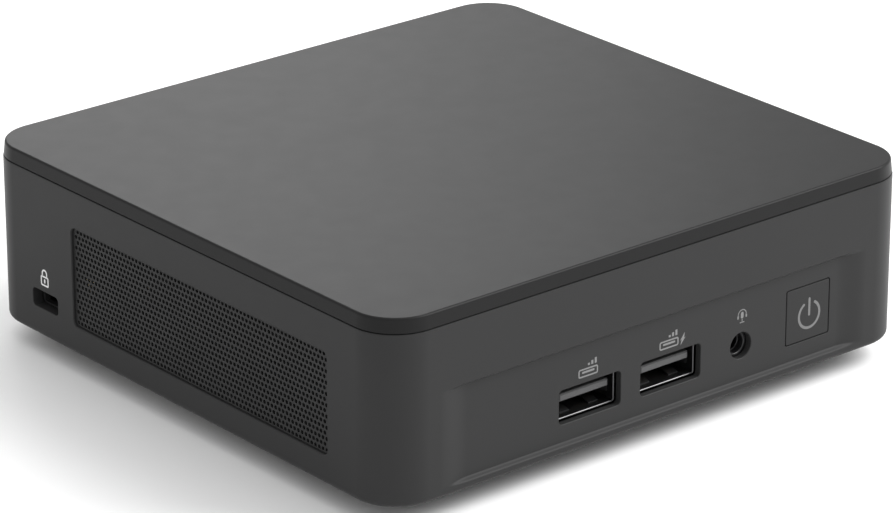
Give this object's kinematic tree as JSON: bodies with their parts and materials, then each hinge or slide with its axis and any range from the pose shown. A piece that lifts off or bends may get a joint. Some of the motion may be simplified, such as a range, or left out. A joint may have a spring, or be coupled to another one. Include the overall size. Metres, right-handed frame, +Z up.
{
  "type": "mini pc",
  "caption": "Slim rounded-square mini computer with front USB and headset ports, a square power button, side vents, a lift-off lid and its inner boards and blower.",
  "frame": {"origin": "middle of the base, on the surface that the feet stand on", "axes": "+Z up, +X towards the right side seen from the front, the front with its power button faces -Y"},
  "size_m": [0.117, 0.112, 0.037],
  "materials": {
    "housing_plastic": "fine matte dark grey",
    "lid_plastic": "satin dark grey",
    "vent_metal": "matte dark grey",
    "foot_rubber": "matte black",
    "cover_steel": "matte black",
    "screw_steel": "satin",
    "standoff_brass": "satin",
    "board_laminate": "solder mask",
    "cooler_copper": "satin copper",
    "fin_aluminium": "satin",
    "light_guide_clear": "clear",
    "port_steel": "satin nickel",
    "port_plastic": "black"
  },
  "bodies": {
    "base": {"bottom_cover": "cover_steel", "clock_battery": "port_steel", "cooler_plate": "cooler_copper", "cooling_fins": "fin_aluminium", "cover_screw_front_left": "screw_steel", "cover_screw_front_right": "screw_steel", "cover_screw_rear_left": "screw_steel", "cover_screw_rear_right": "screw_steel", "drive_socket": "port_plastic", "fan_cover": "cover_steel", "fan_housing": "port_plastic", "fan_stator": "cooler_copper", "foot_front_left": "foot_rubber", "foot_front_right": "foot_rubber", "foot_rear_left": "foot_rubber", "foot_rear_right": "foot_rubber", "front_usb_1_shell": "port_steel", "front_usb_1_tongue": "port_plastic", "front_usb_2_shell": "port_steel", "front_usb_2_tongue": "port_plastic", "hdmi_1_shell": "port_steel", "hdmi_1_tongue": "port_plastic", "hdmi_2_shell": "port_steel", "hdmi_2_tongue": "port_plastic", "headset_jack": "port_plastic", "heat_pipe_inner": "cooler_copper", "heat_pipe_outer": "cooler_copper", "lan_jack": "port_steel", "left_vent_mesh": "vent_metal", "lock_slot_plate": "port_steel", "main_housing": "housing_plastic", "mainboard": "board_laminate", "memory_module_1": "board_laminate", "memory_module_2": "board_laminate", "memory_socket_1": "port_plastic", "memory_socket_2": "port_plastic", "power_jack_body": "port_plastic", "power_jack_pin": "port_steel", "power_light_guide": "light_guide_clear", "power_switch": "port_plastic", "processor": "board_laminate", "radio_card": "board_laminate", "rear_io_panel": "cover_steel", "rear_usb_lower_tongue": "port_plastic", "rear_usb_stack_shell": "port_steel", "rear_usb_upper_tongue": "port_plastic", "right_vent_mesh": "vent_metal", "solid_state_drive": "board_laminate", "standoff_front_left": "standoff_brass", "standoff_front_right": "standoff_brass", "standoff_rear_left": "standoff_brass", "standoff_rear_right": "standoff_brass", "usb_c_1_shell": "port_steel", "usb_c_1_tongue": "port_plastic", "usb_c_2_shell": "port_steel", "usb_c_2_tongue": "port_plastic"},
    "lid": {"top_lid": "lid_plastic"},
    "power_button": {"power_button_cap": "housing_plastic"},
    "impeller": {"fan_impeller": "port_plastic", "fan_shaft": "screw_steel"}
  },
  "joints": [
    {"name": "power_button_press", "type": "slide", "parent": "base", "child": "power_button", "axis": [0, 1, 0], "range_m": [0, 0.0004], "stiffness_N_per_m": 1500, "springref_m": -0.0002},
    {"name": "lid_lift", "type": "slide", "parent": "base", "child": "lid", "axis": [0, 0, 1], "range_m": [0, 0.035]},
    {"name": "fan_spin", "type": "hinge", "parent": "base", "child": "impeller", "pos_m": [-0.014, -0.006, 0.026], "axis": [0, 0, 1], "continuous": true}
  ]
}
